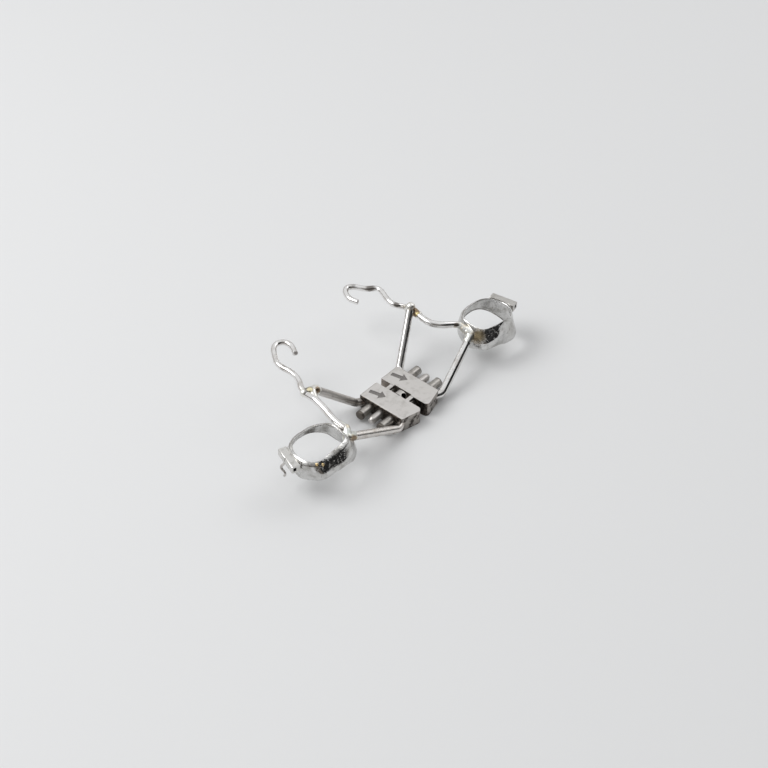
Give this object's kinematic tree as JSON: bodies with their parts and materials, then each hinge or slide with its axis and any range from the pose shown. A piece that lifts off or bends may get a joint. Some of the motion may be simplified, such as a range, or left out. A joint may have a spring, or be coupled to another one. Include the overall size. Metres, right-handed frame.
{
  "type": "palatal expander",
  "caption": "Tooth-borne palatal expander: a key-turned screw in two halves, soldered arms, palatal wires with hooks and molar bands with buccal tubes.",
  "frame": {"origin": "where the key holes cross in the screw's drum, on the spindle's axis", "axes": "+X along the spindle to the patient's left, +Y to the front of the mouth, +Z to the biting edges of the teeth"},
  "size_m": [0.0589, 0.0278, 0.0097],
  "materials": {
    "housing_steel": "satin",
    "pin_steel": "satin",
    "wire_steel": "polished",
    "band_steel": "polished",
    "tube_steel": "satin",
    "solder": "semi-gloss"
  },
  "bodies": {
    "right_half": {"right_housing": "housing_steel", "right_front_arm": "wire_steel", "right_rear_arm": "wire_steel", "right_palatal_wire": "wire_steel", "right_molar_band": "band_steel", "right_tube_base": "tube_steel", "right_buccal_tube": "tube_steel", "right_tube_hook": "tube_steel", "right_front_solder": "solder", "right_band_solder": "solder"},
    "left_half": {"left_housing": "housing_steel", "left_front_arm": "wire_steel", "left_rear_arm": "wire_steel", "left_palatal_wire": "wire_steel", "left_molar_band": "band_steel", "left_tube_base": "tube_steel", "left_buccal_tube": "tube_steel", "left_tube_hook": "tube_steel", "left_front_solder": "solder", "left_band_solder": "solder"},
    "guide_pins": {"front_guide_pin": "pin_steel", "rear_guide_pin": "pin_steel"},
    "spindle": {"spindle": "pin_steel"}
  },
  "joints": [
    {"name": "pins_slide", "type": "slide", "parent": "right_half", "child": "guide_pins", "axis": [1, 0, 0], "range_m": [0, 0.004]},
    {"name": "spindle_turn", "type": "hinge", "parent": "guide_pins", "child": "spindle", "pos_m": [0, 0, 0], "axis": [1, 0, 0], "range_deg": [0, 3600]},
    {"name": "left_half_slide", "type": "slide", "parent": "guide_pins", "child": "left_half", "axis": [1, 0, 0], "range_m": [0, 0.004]}
  ],
  "couplings": [
    {"joint": "spindle_turn", "follows": "pins_slide", "rad_per_m": 15708},
    {"joint": "left_half_slide", "follows": "pins_slide", "ratio": 1}
  ]
}
